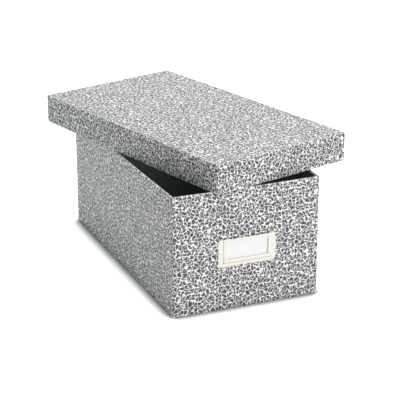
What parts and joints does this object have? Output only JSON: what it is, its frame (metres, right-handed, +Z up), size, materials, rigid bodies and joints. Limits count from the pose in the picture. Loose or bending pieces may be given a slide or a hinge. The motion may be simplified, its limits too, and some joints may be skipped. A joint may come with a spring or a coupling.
{
  "type": "index card file box",
  "caption": "Storage box for index cards: an open paper-covered board tray with a label holder on the front, and a lift-off lid that lies askew across its rim.",
  "frame": {"origin": "middle of the tray's underside, on the surface that the box stands on", "axes": "+Z up, -Y out of the front wall with the label holder, +X to the right seen from the front; the lid lies turned 15.2 degrees about +Z"},
  "size_m": [0.2486, 0.347, 0.1638],
  "materials": {
    "cover_paper": "satin",
    "lining_paper": "matte",
    "board": "matte",
    "cream_enamel": "satin",
    "label_card": "matte"
  },
  "bodies": {
    "tray": {"tray_board": "board", "tray_cover_paper": "cover_paper", "tray_lining_paper": "lining_paper", "label_holder": "cream_enamel", "label_card": "label_card", "holder_rivet_left": "cream_enamel", "holder_rivet_right": "cream_enamel"},
    "lid": {"lid_board": "board", "lid_cover_paper": "cover_paper", "lid_lining_paper": "lining_paper"}
  },
  "joints": [
    {"name": "lid_lift", "type": "slide", "parent": "tray", "child": "lid", "axis": [0, 0, 1], "range_m": [0, 0.15]}
  ]
}
